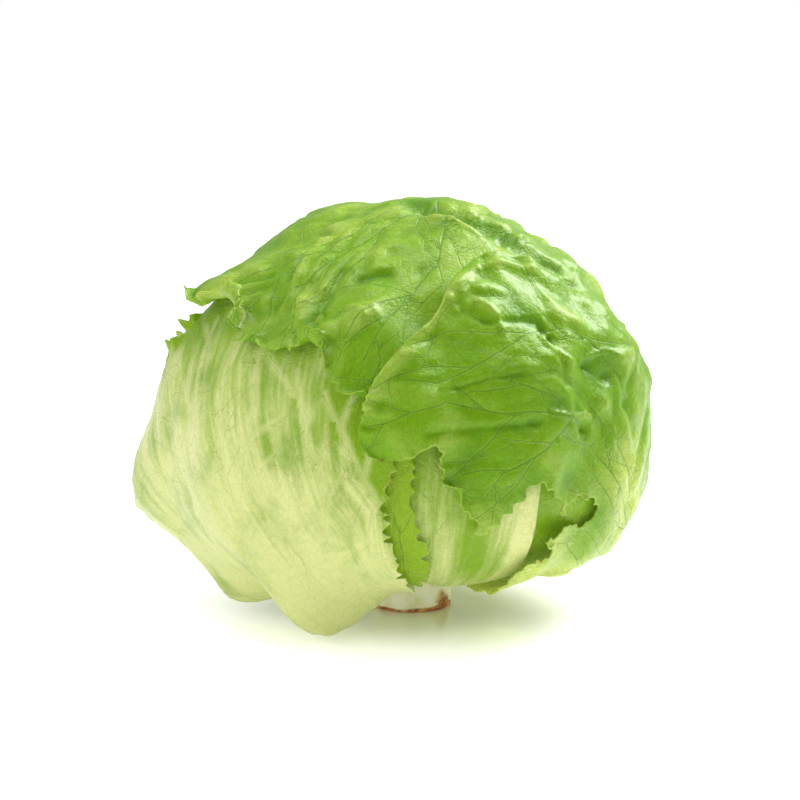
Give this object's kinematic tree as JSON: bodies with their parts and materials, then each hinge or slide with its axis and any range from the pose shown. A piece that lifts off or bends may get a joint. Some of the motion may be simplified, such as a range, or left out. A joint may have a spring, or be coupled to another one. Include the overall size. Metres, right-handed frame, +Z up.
{
  "type": "head of lettuce",
  "caption": "Head of crisphead lettuce standing on its cut stem, with wrapped, toothed and ruffled leaves round a closed heart.",
  "frame": {"origin": "centre of the cut face of the stem, on which the head stands", "axes": "+Z up along the stem, -Y towards the front, where the pale left leaf and the darker right leaf meet, +X to the right seen from the front"},
  "size_m": [0.1805, 0.1722, 0.1416],
  "materials": {
    "stem": "satin",
    "heart": "satin",
    "inner_leaf": "satin",
    "pale_leaf": "satin",
    "strip_leaf": "satin",
    "green_leaf": "satin"
  },
  "bodies": {
    "root": {"stem": "stem", "heart": "heart", "leaf_inner_right": "inner_leaf", "leaf_inner_back": "inner_leaf", "leaf_inner_left": "inner_leaf", "leaf_under_right": "inner_leaf", "leaf_front": "pale_leaf", "leaf_strip": "strip_leaf", "leaf_back": "green_leaf", "leaf_left": "pale_leaf", "leaf_top": "green_leaf", "leaf_right": "green_leaf"}
  },
  "joints": []
}
